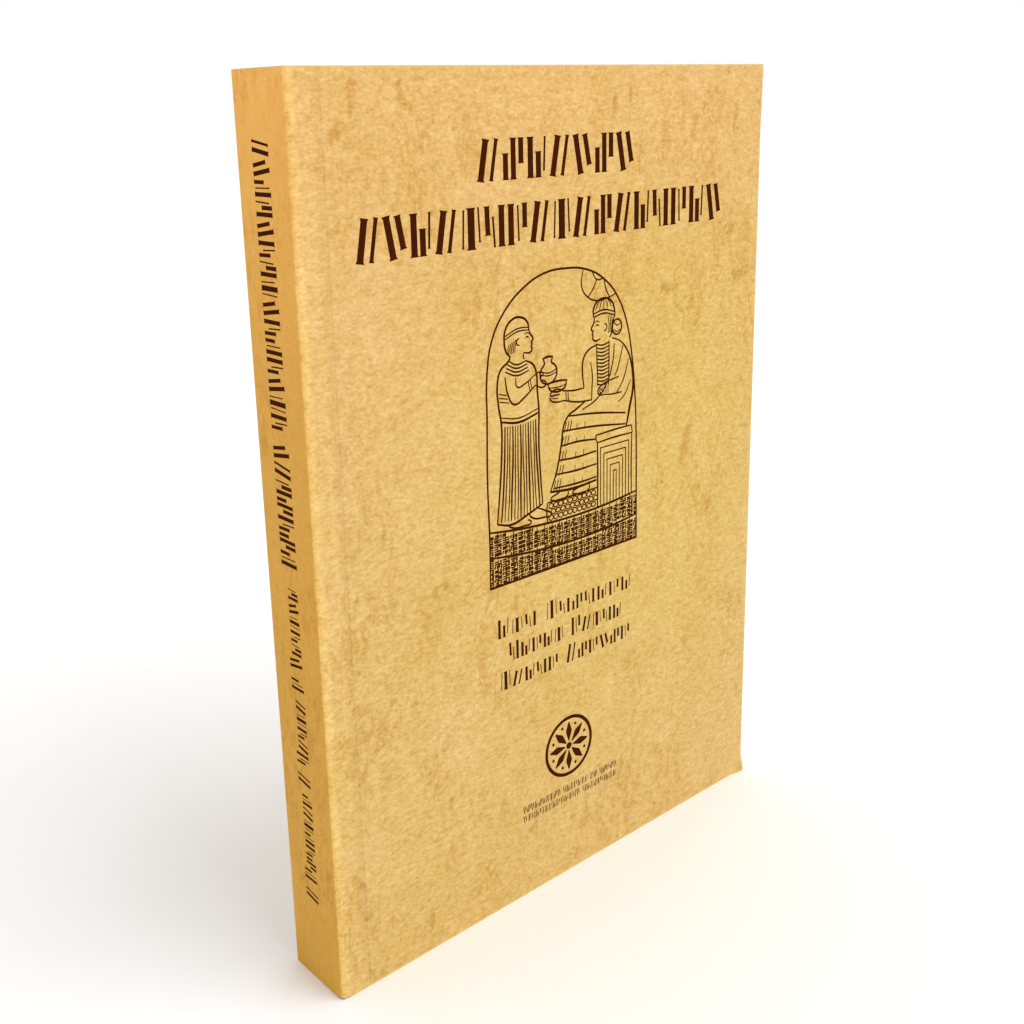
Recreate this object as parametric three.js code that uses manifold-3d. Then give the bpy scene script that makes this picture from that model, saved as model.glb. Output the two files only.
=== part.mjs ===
// A perfect-bound paperback book, closed and standing on its tail, in millimetres.
// +Z runs from tail to head, +X from the spine to the fore-edge, and the front cover faces -Y.
// The origin is the middle of the tail, on the surface that the book stands on.
import * as THREE from "three";
import { mergeVertices } from "three/addons/utils/BufferGeometryUtils.js";
import Module from "manifold-3d";

const wasm = await Module();
wasm.setup();

// Driving dimensions.
const TRIM_WIDTH = 170; // spine to fore-edge
const TRIM_HEIGHT = 240; // tail to head
const THICKNESS = 23; // front cover to back cover, over the card
const CARD = 0.35; // thickness of the cover card
const FOLD_RADIUS = 1.2; // outside of the card where it turns round the spine
const HINGE_STRIP = 9; // card glued to the first and last leaf, from the spine to the score
const SCORE_WIDTH = 0.9; // the pressed line on which a cover opens
const SCORE_DEPTH = 0.14;
const CORNER_RADIUS = 1.0; // the covers' free corners, rubbed round
const ARC_STEPS = 8;

// Places that follow from them.
const SPINE_X = -TRIM_WIDTH / 2;
const FORE_X = TRIM_WIDTH / 2;
const SCORE_X = SPINE_X + HINGE_STRIP;
const OUTER_Y = THICKNESS / 2;
const INNER_Y = OUTER_Y - CARD;
const INNER_RADIUS = FOLD_RADIUS - CARD;

const COVER_CARD = new THREE.MeshStandardMaterial({ color: 0xe2bb70, roughness: 0.8, metalness: 0 });
const PAGE_PAPER = new THREE.MeshStandardMaterial({ color: 0xf1eadb, roughness: 0.9, metalness: 0 });

// A flat outline in X and Y, raised from the tail to the head.
function raised(shape) {
  return new THREE.ExtrudeGeometry(shape, {
    depth: TRIM_HEIGHT,
    curveSegments: ARC_STEPS,
    bevelEnabled: false,
  });
}

// A geometry as a solid that can be cut.
function solidOf(geometry) {
  const bare = geometry.index ? geometry.toNonIndexed() : geometry.clone();
  bare.deleteAttribute("normal");
  bare.deleteAttribute("uv");
  const merged = mergeVertices(bare, 1e-4);
  return new wasm.Manifold(
    new wasm.Mesh({
      numProp: 3,
      vertProperties: merged.attributes.position.array,
      triVerts: new Uint32Array(merged.index.array),
    }),
  );
}

// A solid as a geometry that can be shown.
function geometryOf(solid) {
  const mesh = solid.getMesh();
  const indexed = new THREE.BufferGeometry();
  indexed.setAttribute("position", new THREE.BufferAttribute(mesh.vertProperties, 3));
  indexed.setIndex(new THREE.BufferAttribute(mesh.triVerts, 1));
  const flat = indexed.toNonIndexed();
  flat.computeVertexNormals();
  return flat;
}

function named(name, geometry, material) {
  const mesh = new THREE.Mesh(geometry, material);
  mesh.name = name;
  return mesh;
}

// The leaves, milled and glued at the spine, as one block. Its two spine edges are eased,
// so that the card turns round them.
function textBlock() {
  const glued = SPINE_X + CARD;
  const outline = new THREE.Shape();
  outline.moveTo(FORE_X, -INNER_Y);
  outline.lineTo(FORE_X, INNER_Y);
  outline.lineTo(glued + INNER_RADIUS, INNER_Y);
  outline.absarc(
    glued + INNER_RADIUS, INNER_Y - INNER_RADIUS, INNER_RADIUS, Math.PI / 2, Math.PI, false,
  );
  outline.lineTo(glued, -INNER_Y + INNER_RADIUS);
  outline.absarc(
    glued + INNER_RADIUS, -INNER_Y + INNER_RADIUS, INNER_RADIUS, Math.PI, 1.5 * Math.PI, false,
  );
  outline.closePath();
  return named("text_block", raised(outline), PAGE_PAPER);
}

// The middle of the cover: the spine panel and the two strips glued to the block,
// which end in half of each score.
function coverSpine() {
  const bend = SPINE_X + FOLD_RADIUS;
  const outer = OUTER_Y - FOLD_RADIUS;
  const slope = SCORE_X - SCORE_WIDTH / 2;
  const pressed = OUTER_Y - SCORE_DEPTH;
  const outline = new THREE.Shape();
  outline.moveTo(SCORE_X, -INNER_Y);
  outline.lineTo(bend, -INNER_Y);
  outline.absarc(bend, -outer, INNER_RADIUS, 1.5 * Math.PI, Math.PI, true);
  outline.lineTo(SPINE_X + CARD, outer);
  outline.absarc(bend, outer, INNER_RADIUS, Math.PI, Math.PI / 2, true);
  outline.lineTo(SCORE_X, INNER_Y);
  outline.lineTo(SCORE_X, pressed);
  outline.lineTo(slope, OUTER_Y);
  outline.lineTo(bend, OUTER_Y);
  outline.absarc(bend, outer, FOLD_RADIUS, Math.PI / 2, Math.PI, false);
  outline.lineTo(SPINE_X, -outer);
  outline.absarc(bend, -outer, FOLD_RADIUS, Math.PI, 1.5 * Math.PI, false);
  outline.lineTo(slope, -OUTER_Y);
  outline.lineTo(SCORE_X, -pressed);
  outline.closePath();
  return named("cover_spine", raised(outline), COVER_CARD);
}

// One board of the cover, from its score to the fore-edge. side is -1 in front and 1 behind.
function coverPanel(name, side) {
  const board = new THREE.Shape();
  board.moveTo(SCORE_X, 0);
  board.lineTo(FORE_X - CORNER_RADIUS, 0);
  board.absarc(
    FORE_X - CORNER_RADIUS, CORNER_RADIUS, CORNER_RADIUS, 1.5 * Math.PI, 2 * Math.PI, false,
  );
  board.lineTo(FORE_X, TRIM_HEIGHT - CORNER_RADIUS);
  board.absarc(
    FORE_X - CORNER_RADIUS, TRIM_HEIGHT - CORNER_RADIUS, CORNER_RADIUS, 0, Math.PI / 2, false,
  );
  board.lineTo(SCORE_X, TRIM_HEIGHT);
  board.closePath();
  const flat = new THREE.ExtrudeGeometry(board, {
    depth: CARD,
    curveSegments: ARC_STEPS,
    bevelEnabled: false,
  });
  flat.rotateX(Math.PI / 2); // stands the board up, with its thickness from 0 to -CARD
  flat.translate(0, side > 0 ? OUTER_Y : -INNER_Y, 0);
  return named(name, geometryOf(solidOf(flat).subtract(scoreCutter(side))), COVER_CARD);
}

// The board's half of the pressed score, as a wedge that stands clear past head and tail.
function scoreCutter(side) {
  const past = 1;
  const slope = SCORE_WIDTH / 2 / SCORE_DEPTH; // run along the board for each unit of depth
  const wedge = new THREE.Shape();
  wedge.moveTo(SCORE_X - past, side * (OUTER_Y - SCORE_DEPTH));
  wedge.lineTo(SCORE_X, side * (OUTER_Y - SCORE_DEPTH));
  wedge.lineTo(SCORE_X + slope * (SCORE_DEPTH + past), side * (OUTER_Y + past));
  wedge.lineTo(SCORE_X - past, side * (OUTER_Y + past));
  wedge.closePath();
  const cutter = new THREE.ExtrudeGeometry(wedge, {
    depth: TRIM_HEIGHT + 2 * past,
    bevelEnabled: false,
  });
  cutter.translate(0, 0, -past);
  return solidOf(cutter);
}

const book = new THREE.Group();
book.add(textBlock());
book.add(coverSpine());
book.add(coverPanel("front_cover", -1));
book.add(coverPanel("back_cover", 1));

export default book;
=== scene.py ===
"""Looks of a perfect-bound paperback: card cover, trimmed leaves, glue line and dark print.

Everything is in metres. +Z runs from tail to head, +X from the spine to the fore-edge,
and the front cover faces -Y. Places on a cover are given as a book designer gives them,
in millimetres from the spine and down from the head.
"""

import math
import random

import bpy
from bpy.props import FloatProperty, FloatVectorProperty, IntProperty, PointerProperty
from mathutils import Matrix, Vector


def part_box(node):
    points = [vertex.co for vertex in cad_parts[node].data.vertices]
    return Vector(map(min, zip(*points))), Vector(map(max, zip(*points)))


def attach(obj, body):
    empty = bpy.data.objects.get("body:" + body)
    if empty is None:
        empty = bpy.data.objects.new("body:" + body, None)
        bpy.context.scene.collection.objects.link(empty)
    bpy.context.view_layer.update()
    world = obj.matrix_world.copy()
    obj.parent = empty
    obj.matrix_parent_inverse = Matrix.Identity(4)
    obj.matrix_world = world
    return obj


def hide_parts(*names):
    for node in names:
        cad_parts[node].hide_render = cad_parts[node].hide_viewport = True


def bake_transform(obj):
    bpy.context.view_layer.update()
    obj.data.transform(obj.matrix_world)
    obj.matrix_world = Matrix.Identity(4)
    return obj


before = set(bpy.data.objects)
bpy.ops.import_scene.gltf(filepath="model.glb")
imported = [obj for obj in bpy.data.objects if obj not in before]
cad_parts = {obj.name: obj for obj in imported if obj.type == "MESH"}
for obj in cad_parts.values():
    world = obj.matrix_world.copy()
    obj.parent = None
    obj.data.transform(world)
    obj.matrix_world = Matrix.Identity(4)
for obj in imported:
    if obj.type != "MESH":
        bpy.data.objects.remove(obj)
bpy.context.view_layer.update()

bl_info = {
    "name": "Paperback book",
    "version": (1, 0, 0),
    "blender": (4, 5, 0),
    "location": "3D View > Sidebar > Paperback",
    "description": "Builds the cover, leaves, glue and print of a perfect-bound paperback",
    "category": "Add Mesh",
}

MM = 0.001

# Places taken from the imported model.
BLOCK_LOW, BLOCK_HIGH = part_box("text_block")
FRONT_LOW, FRONT_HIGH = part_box("front_cover")
SPINE_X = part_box("cover_spine")[0].x
SCORE_X = FRONT_LOW.x
FORE_X = FRONT_HIGH.x
FRONT_Y = FRONT_LOW.y
BACK_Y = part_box("back_cover")[1].y
TAIL_Z = FRONT_LOW.z
HEAD_Z = FRONT_HIGH.z
CARD = FRONT_HIGH.y - FRONT_Y
HEIGHT = HEAD_Z - TAIL_Z
PANEL_WIDTH = FORE_X - SCORE_X
THICKNESS = BACK_Y - FRONT_Y


# ---------------------------------------------------------------------------------------
# Settings that a user would change
# ---------------------------------------------------------------------------------------


def length_setting(name, description, default):
    """A length, in metres."""
    return FloatProperty(name=name, description=description, default=default, unit="LENGTH")


def angle_setting(name, description, degrees):
    """An angle, whose default is given in degrees."""
    default = math.radians(degrees)
    return FloatProperty(name=name, description=description, default=default, subtype="ANGLE")


def colour_setting(name, description, default):
    """A colour, in linear red, green and blue."""
    return FloatVectorProperty(
        name=name, description=description, default=default, subtype="COLOR"
    )


class CardSettings(bpy.types.PropertyGroup):
    """Sizes and tones of the cover card."""

    fold_radius: length_setting(
        "Fold radius", "Outside radius of the card where it turns round the spine", 1.2 * MM
    )
    score_width: length_setting(
        "Score width", "Width of the pressed line on which a cover opens", 1.1 * MM
    )
    score_depth: length_setting(
        "Score depth", "Depth of the pressed line on which a cover opens", 0.13 * MM
    )
    guide_inset: length_setting(
        "Guide line inset", "Distance from the spine to the fainter second line", 6.3 * MM
    )
    guide_depth: length_setting("Guide line depth", "Depth of the fainter second line", 0.05 * MM)
    corner_radius: length_setting(
        "Corner radius", "Radius to which the free corners are rubbed", 0.45 * MM
    )
    tip_lift: length_setting(
        "Tip lift",
        "How far the lower fore-edge tip of the front cover stands off the leaves",
        1.0 * MM,
    )
    bump_crush: length_setting(
        "Crushed corner",
        "How far the lower front corner of the spine has been knocked in",
        0.55 * MM,
    )
    dark_tone: colour_setting(
        "Dark tone", "Card colour in the darker mottles", (0.622, 0.352, 0.064)
    )
    light_tone: colour_setting(
        "Light tone", "Card colour in the lighter mottles", (0.874, 0.610, 0.216)
    )
    vein_tone: colour_setting(
        "Vein tone", "Tint that the brown veins and smudges give the card", (0.83, 0.67, 0.39)
    )
    rubbed_tone: colour_setting(
        "Rubbed tone", "Card colour along rubbed folds and edges", (0.92, 0.62, 0.20)
    )
    lining_tone: colour_setting(
        "Inside tone", "Card colour on the inside of the covers", (0.82, 0.62, 0.31)
    )


class LeafSettings(bpy.types.PropertyGroup):
    """Sizes and tones of the leaves and the glue."""

    count: IntProperty(
        name="Leaves",
        description="Number of leaves in the block",
        default=186,
        min=2,
    )
    fill: FloatProperty(
        name="Paper share",
        description="Share of each leaf's pitch that is paper and not air",
        default=0.9,
        subtype="FACTOR",
    )
    ragged: length_setting(
        "Ragged edge", "Largest step between neighbouring leaves at the trimmed edges", 0.06 * MM
    )
    glue_depth: length_setting(
        "Glue depth", "Thickness of the hot glue between the leaves and the spine card", 0.8 * MM
    )
    paper_tone: colour_setting("Paper tone", "Colour of the leaves", (0.83, 0.755, 0.60))
    glue_tone: colour_setting("Glue tone", "Colour of the hot glue", (0.70, 0.58, 0.36))


class PrintSettings(bpy.types.PropertyGroup):
    """Tone and relief of the print."""

    relief: length_setting("Relief", "Height of the ink film over the card", 0.02 * MM)
    ink_tone: colour_setting("Ink tone", "Colour of the dark brown ink", (0.047, 0.0082, 0.0006))


class StageSettings(bpy.types.PropertyGroup):
    """Camera and light."""

    azimuth: angle_setting(
        "Azimuth", "Side from which the camera looks, turned from the front cover", -40.357
    )
    elevation: angle_setting("Elevation", "Angle at which the camera looks down", 14.770)
    roll: angle_setting("Roll", "Turn of the camera about its own line of sight", -1.538)
    place: FloatVectorProperty(
        name="Camera place",
        description="Where the camera stands",
        default=(-0.23137, -0.24661, 0.23173),
        subtype="TRANSLATION",
    )
    lens: FloatProperty(
        name="Lens",
        description="Focal length, in millimetres, on a sensor 36 mm wide",
        default=42.69,
    )
    shift: FloatVectorProperty(
        name="Shift",
        description="Shift of the picture frame, as a share of its width",
        default=(0.0313, -0.0898),
        size=2,
    )


# ---------------------------------------------------------------------------------------
# Modelling by hand
# ---------------------------------------------------------------------------------------


def deselect():
    """Leaves edit mode and selects no object."""
    if bpy.context.object and bpy.context.object.mode != "OBJECT":
        bpy.ops.object.mode_set(mode="OBJECT")
    bpy.ops.object.select_all(action="DESELECT")


def take(obj):
    """Selects this object only, and makes it the active one."""
    deselect()
    obj.select_set(True)
    bpy.context.view_layer.objects.active = obj


def pick(obj, test):
    """In edit mode, selects only the vertices whose places pass the test."""
    take(obj)
    bpy.ops.object.mode_set(mode="EDIT")
    bpy.ops.mesh.select_mode(type="VERT")
    bpy.ops.mesh.select_all(action="DESELECT")
    bpy.ops.object.mode_set(mode="OBJECT")
    flags = [bool(test(v.co)) for v in obj.data.vertices]
    obj.data.vertices.foreach_set("select", flags)
    bpy.ops.object.mode_set(mode="EDIT")


def extrude(step):
    """Pulls the selected edges out by a step."""
    bpy.ops.mesh.extrude_region_move(TRANSFORM_OT_translate={"value": tuple(step)})


def spin(centre, angle, steps):
    """Turns the selected edges round an upright axis, drawing a surface behind them."""
    bpy.ops.mesh.spin(
        steps=steps, angle=angle, center=(centre[0], centre[1], 0), axis=(0, 0, 1)
    )


def drag(step, reach=0.0):
    """Moves the selected vertices, and those within reach of them by less and less."""
    bpy.ops.transform.translate(
        value=tuple(step),
        use_proportional_edit=reach > 0,
        proportional_edit_falloff="SMOOTH",
        proportional_size=max(reach, MM),
        use_proportional_connected=False,
    )


def finish_modifier(obj, kind, **settings):
    """Adds a modifier, sets it and applies it."""
    take(obj)
    made = obj.modifiers.new(kind.title(), kind)
    for key, value in settings.items():
        setattr(made, key, value)
    bpy.ops.object.modifier_apply(modifier=made.name)


def settle(obj, name):
    """Names a piece and moves its place into its mesh."""
    take(obj)
    bpy.ops.object.transform_apply(location=True, rotation=True, scale=True)
    obj.name = name
    obj.data.name = name
    return obj


def smooth(obj):
    """Shades a piece smooth, apart from its sharp edges."""
    take(obj)
    bpy.ops.object.shade_smooth_by_angle(angle=math.radians(35))


def keep_rest_place(obj):
    """Stores each vertex's place in the closed book, for a pattern that bends with the card."""
    count = len(obj.data.vertices)
    places = [0.0] * (3 * count)
    obj.data.vertices.foreach_get("co", places)
    layer = obj.data.attributes.new("rest_place", "FLOAT_VECTOR", "POINT")
    layer.data.foreach_set("vector", places)


# ---------------------------------------------------------------------------------------
# Shader maths
# ---------------------------------------------------------------------------------------

# Where a Mix node keeps its colours among the sockets of its other types.
MIX_COLOUR_A, MIX_COLOUR_B, MIX_COLOUR_RESULT = 6, 7, 2


class Socket:
    """A number on a surface, on which plain arithmetic adds Math nodes."""

    def __init__(self, finish, output):
        self.finish = finish
        self.output = output

    def _math(self, operation, *values):
        made = self.finish.node("ShaderNodeMath", {"operation": operation}, values)
        return Socket(self.finish, made.outputs[0])

    def __add__(self, other):
        return self._math("ADD", self, other)

    def __radd__(self, other):
        return self._math("ADD", other, self)

    def __sub__(self, other):
        return self._math("SUBTRACT", self, other)

    def __rsub__(self, other):
        return self._math("SUBTRACT", other, self)

    def __mul__(self, other):
        return self._math("MULTIPLY", self, other)

    def __rmul__(self, other):
        return self._math("MULTIPLY", other, self)

    def __truediv__(self, other):
        return self._math("DIVIDE", self, other)

    def __abs__(self):
        return self._math("ABSOLUTE", self)

    def __pow__(self, other):
        return self._math("POWER", self, other)

    def least(self, other):
        """The smaller of two numbers."""
        return self._math("MINIMUM", self, other)

    def most(self, other):
        """The larger of two numbers."""
        return self._math("MAXIMUM", self, other)

    def rise(self, start, end):
        """0 before start, 1 after end, and a smooth step between them."""
        made = self.finish.node(
            "ShaderNodeMapRange",
            {"interpolation_type": "SMOOTHSTEP"},
            {"Value": self, "From Min": start, "From Max": end},
        )
        return Socket(self.finish, made.outputs["Result"])


class Finish:
    """A material whose nodes are added one by one."""

    def __init__(self, name, **constants):
        self.material = bpy.data.materials.new(name)
        self.material.use_nodes = True
        self.tree = self.material.node_tree
        self.shader = self.tree.nodes["Principled BSDF"]
        for key, value in constants.items():
            self.shader.inputs[key.replace("_", " ")].default_value = value

    def node(self, kind, settings=None, inputs=None):
        """Adds a node: its settings first, then the values or links of its sockets."""
        made = self.tree.nodes.new(kind)
        for key, value in (settings or {}).items():
            setattr(made, key, value)
        pairs = inputs.items() if isinstance(inputs, dict) else enumerate(inputs or ())
        for key, value in pairs:
            self.feed(made.inputs[key], value)
        return made

    def feed(self, socket, value):
        """Gives a socket a value, or a link to an output."""
        if isinstance(value, Socket):
            value = value.output
        if isinstance(value, bpy.types.NodeSocket):
            self.tree.links.new(value, socket)
        else:
            socket.default_value = value

    def place(self):
        """The object's own coordinates."""
        return self.node("ShaderNodeTexCoord").outputs["Object"]

    def attribute(self, name):
        """A vector stored on the piece's vertices."""
        made = self.node("ShaderNodeAttribute", {"attribute_name": name})
        return made.outputs["Vector"]

    def split(self, vector):
        """The three numbers of a vector."""
        made = self.node("ShaderNodeSeparateXYZ", None, [vector])
        return [Socket(self, output) for output in made.outputs]

    def stretched(self, vector, scale):
        """A pattern's coordinates, scaled along each axis."""
        made = self.node("ShaderNodeMapping", None, {"Vector": vector, "Scale": scale})
        return made.outputs[0]

    def noise(self, vector, size, detail=2.0, rough=0.5, warp=0.0):
        """Soft random spots about `size` metres across, from 0 to 1."""
        inputs = {"Vector": vector, "Scale": 1 / size, "Detail": detail}
        inputs |= {"Roughness": rough, "Distortion": warp}
        return Socket(self, self.node("ShaderNodeTexNoise", None, inputs).outputs[0])

    def blend(self, share, first, second, kind="MIX"):
        """A colour between two colours, or the first multiplied by the second."""
        made = self.node(
            "ShaderNodeMix", {"data_type": "RGBA", "blend_type": kind}, {"Factor": share}
        )
        self.feed(made.inputs[MIX_COLOUR_A], self._colour(first))
        self.feed(made.inputs[MIX_COLOUR_B], self._colour(second))
        return made.outputs[MIX_COLOUR_RESULT]

    @staticmethod
    def _colour(value):
        if isinstance(value, bpy.types.NodeSocket):
            return value
        return (*value, 1.0) if len(value) == 3 else value

    def bump(self, height, distance, strength):
        """A normal tilted by a height map, whose full range is `distance` metres high."""
        made = self.node(
            "ShaderNodeBump", None, {"Height": height, "Distance": distance, "Strength": strength}
        )
        return made.outputs[0]

    def wear(self, **sockets):
        """Links what changes over the surface to the shader, and returns the material."""
        for key, value in sockets.items():
            self.feed(self.shader.inputs[key.replace("_", " ")], value)
        return self.material


def paint(obj, *materials):
    """Gives a piece its materials, in the order of its slots."""
    obj.data.materials.clear()
    for material in materials:
        obj.data.materials.append(material)


def tint(colour, factor):
    """A colour with every channel multiplied."""
    return tuple(channel * factor for channel in colour)


# ---------------------------------------------------------------------------------------
# Materials
# ---------------------------------------------------------------------------------------


# Brown smudges in the front cover's card, in millimetres: from the spine, down from the
# head, half the width, half the height, and the lean to the right for each millimetre up.
SMUDGES = (
    (17.5, 7.0, 2.2, 7.0, 0.1),
    (12.0, 15.5, 3.6, 3.4, 0.5),
    (32.0, 8.0, 2.0, 7.0, -0.2),
    (104.5, 12.0, 1.5, 6.0, 0.1),
    (111.0, 7.5, 1.2, 4.5, 0.0),
    (138.5, 17.0, 2.2, 7.5, 0.2),
    (157.5, 15.0, 1.6, 6.0, 0.1),
    (160.5, 63.0, 5.0, 4.0, 0.2),
    (126.0, 63.0, 3.0, 3.0, -0.3),
    (137.0, 113.0, 3.4, 11.0, 0.3),
    (148.5, 136.0, 1.6, 5.0, 0.2),
    (38.0, 133.0, 4.6, 3.0, 0.4),
    (56.0, 195.0, 1.1, 3.6, -0.2),
    (39.5, 197.0, 2.0, 4.0, 0.2),
    (69.0, 219.0, 2.6, 4.2, 0.8),
    (31.0, 231.0, 1.6, 4.0, 0.1),
    (7.5, 207.5, 2.2, 5.0, -0.6),
)


def smudge_reach(across, up):
    """1 at the middle of each placed smudge, and 0 beyond its edge."""
    found = None
    for from_spine, from_head, half_width, half_height, lean in SMUDGES:
        high = (up - (HEAD_Z - from_head * MM)) / (half_height * MM)
        wide = (across - (SPINE_X + from_spine * MM)) / (half_width * MM)
        wide = wide - high * (lean * half_height / half_width)
        inside = 1 - (wide * wide + high * high)
        found = inside if found is None else found.most(inside)
    return found.most(0.0)


def card_finish(card):
    """Parchment-look card: felt grain, soft mottles, brown veins and worn edges, with painted
    light: painted highlights along the spine fold and the guide line, painted shade in the score
    and on the spine, and lighter towards the head.
    """
    finish = Finish("parchment_card", Roughness=0.62, Specular_IOR_Level=0.3)
    place = finish.attribute("rest_place")
    across, through, up = finish.split(place)
    laid = finish.stretched(place, (0.62, 1.0, 1.1))
    on_spine = 1 - across.rise(SPINE_X + 0.02 * MM, SPINE_X + 0.3 * MM)

    grain = finish.noise(laid, 0.75 * MM, detail=2.0, rough=0.6)
    flecks = finish.noise(laid, 1.9 * MM, detail=3.0, rough=0.6, warp=0.5)
    mottles = finish.noise(place, 9 * MM, detail=3.0, rough=0.55)
    clouds = finish.noise(place, 45 * MM, detail=1.0)
    specks = 1 - flecks.rise(0.26, 0.44)
    felt = (grain - 0.5) * 1.35 + (flecks - 0.5) * 1.0 - specks * 0.2
    tone = 0.53 + felt * (1 - on_spine * 0.55) + (mottles - 0.5) * 0.5 + (clouds - 0.5) * 0.25
    colour = finish.blend(tone, card.dark_tone, card.light_tone)

    off_centre = ((across - 30 * MM) ** 2 + (up - 130 * MM) ** 2) ** 0.5
    rosy = off_centre.rise(25 * MM, 105 * MM) * 0.7 + (mottles - 0.5) * 0.6 + (clouds - 0.5) * 0.6
    cast = finish.blend(rosy, (0.985, 1.01, 0.89), (1.012, 0.98, 1.12))
    colour = finish.blend(1.0, colour, cast, "MULTIPLY")
    # Painted light from above: the card is painted lighter towards the head.
    painted_light_from_above = finish.blend((up / HEIGHT) ** 2, (0.98, 1.01, 1.02), (1.065, 1.01, 1.05))
    colour = finish.blend(1.0, colour, painted_light_from_above, "MULTIPLY")

    upright = finish.stretched(place, (1.0, 1.0, 0.5))
    broken = finish.noise(upright, 3.2 * MM, detail=3.0, rough=0.65, warp=1.0)
    on_front = 1 - through.rise(FRONT_Y * 0.8, FRONT_Y * 0.6)
    smudges = (smudge_reach(across, up) + (broken - 0.5) * 2.6).rise(0.35, 1.0)
    ridge = abs(finish.noise(upright, 7 * MM, detail=3.0, rough=0.6, warp=0.8) - 0.5)
    vein_place = finish.noise(upright, 16 * MM, detail=1.0).rise(0.47, 0.62)
    veins = (1 - ridge.rise(0.0, 0.09)) * vein_place * broken.rise(0.36, 0.62) * 0.7
    marks = (smudges * on_front * 0.8).most(veins)
    colour = finish.blend(marks, colour, card.vein_tone, "MULTIPLY")

    # Painted shade: the spine, the side turned from the key lamp, is painted darker and warmer than
    # the front, and painted lighter towards the head as light from above.
    painted_spine_shade = finish.blend((up / HEIGHT) ** 4, (1.05, 0.83, 0.275), (1.33, 1.11, 0.74))
    colour = finish.blend(on_spine, colour, painted_spine_shade, "MULTIPLY")

    # Painted shade: the card is painted darker in and beside the pressed score.
    score_painted_shade = across.rise(SCORE_X - 2.6 * MM, SCORE_X - 0.1 * MM)
    score_painted_shade = score_painted_shade * (1 - across.rise(SCORE_X + 0.1 * MM, SCORE_X + 0.6 * MM))
    colour = finish.blend(score_painted_shade, colour, (0.93, 0.905, 0.88), "MULTIPLY")
    guide = SPINE_X + card.guide_inset
    crest = across.rise(guide - 0.5 * MM, guide) * (1 - across.rise(guide, guide + 0.5 * MM))
    fold_strip = (1 - across.rise(SPINE_X + 1.2 * MM, SPINE_X + 3.8 * MM)) * (1 - on_spine)
    tail_rim = 1 - up.rise(TAIL_Z + 0.25 * MM, TAIL_Z + 0.8 * MM)
    head_rim = up.rise(HEAD_Z - 0.7 * MM, HEAD_Z - 0.2 * MM)
    fore_rim = across.rise(FORE_X - 0.9 * MM, FORE_X - 0.3 * MM)
    glued_strip = 1 - across.rise(guide, guide + 1 * MM)
    # Painted highlight: the card is painted lighter along the spine fold and on the guide line's
    # crest, and a little lighter over the strip from the spine to the guide line.
    fold_highlight_and_strip_tint = fold_strip.most(crest * 0.35).most(glued_strip * 0.2)
    colour = finish.blend(fold_highlight_and_strip_tint, colour, (1.16, 1.18, 1.12), "MULTIPLY")
    rubbed = (tail_rim * 0.6).most(fore_rim * 0.35).most(head_rim * 0.35)
    colour = finish.blend(rubbed, colour, card.rubbed_tone)
    # Painted highlight: a bright, broken line along the edge of the spine fold.
    fold_edge = (1 - across.rise(SPINE_X + 0.3 * MM, SPINE_X + 1.1 * MM)) * (1 - on_spine)
    fold_edge_highlight = fold_edge * (0.6 + flecks.rise(0.4, 0.6) * 0.4)
    colour = finish.blend(fold_edge_highlight, colour, (1.14, 1.06, 0.98), "MULTIPLY")

    raised_felt = (grain + flecks) * (1 - on_spine * 0.6)
    return finish.wear(Base_Color=colour, Normal=finish.bump(raised_felt, 0.025 * MM, 0.25))


def lining_finish(card):
    """The card's inside: the same ochre, paler and without veins, handled near its edges."""
    finish = Finish("card_inside", Roughness=0.75, Specular_IOR_Level=0.25)
    place = finish.attribute("rest_place")
    across, through, up = finish.split(place)
    grain = finish.noise(place, 0.6 * MM, detail=3.0)
    flecks = finish.noise(place, 2.2 * MM, detail=3.0, rough=0.6)
    mottles = finish.noise(place, 14 * MM, detail=3.0)
    tone = 0.5 + (grain - 0.5) * 1.5 + (flecks - 0.5) * 1.3 + (mottles - 0.5) * 0.6
    colour = finish.blend(tone, tint(card.lining_tone, 0.82), card.lining_tone)
    handled = across.rise(FORE_X - 12 * MM, FORE_X).most(1 - up.rise(TAIL_Z, TAIL_Z + 5 * MM))
    handled = handled.most(up.rise(HEAD_Z - 5 * MM, HEAD_Z)) * (0.2 + mottles * 0.5)
    colour = finish.blend(handled, colour, (0.90, 0.82, 0.68), "MULTIPLY")
    return finish.wear(Base_Color=colour, Normal=finish.bump(grain + flecks, 0.05 * MM, 0.4))


def cut_finish(card):
    """The card's cut edges, where its pale core shows."""
    finish = Finish("card_cut_edge", Roughness=0.8, Specular_IOR_Level=0.2)
    place = finish.attribute("rest_place")
    fibres = finish.noise(place, 0.4 * MM, detail=3.0)
    rubs = finish.noise(place, 7 * MM, detail=3.0).rise(0.35, 0.65)
    colour = finish.blend(fibres * 0.6 + rubs * 0.4, card.dark_tone, card.rubbed_tone)
    return finish.wear(Base_Color=colour, Normal=finish.bump(fibres, 0.05 * MM, 0.6))


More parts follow.
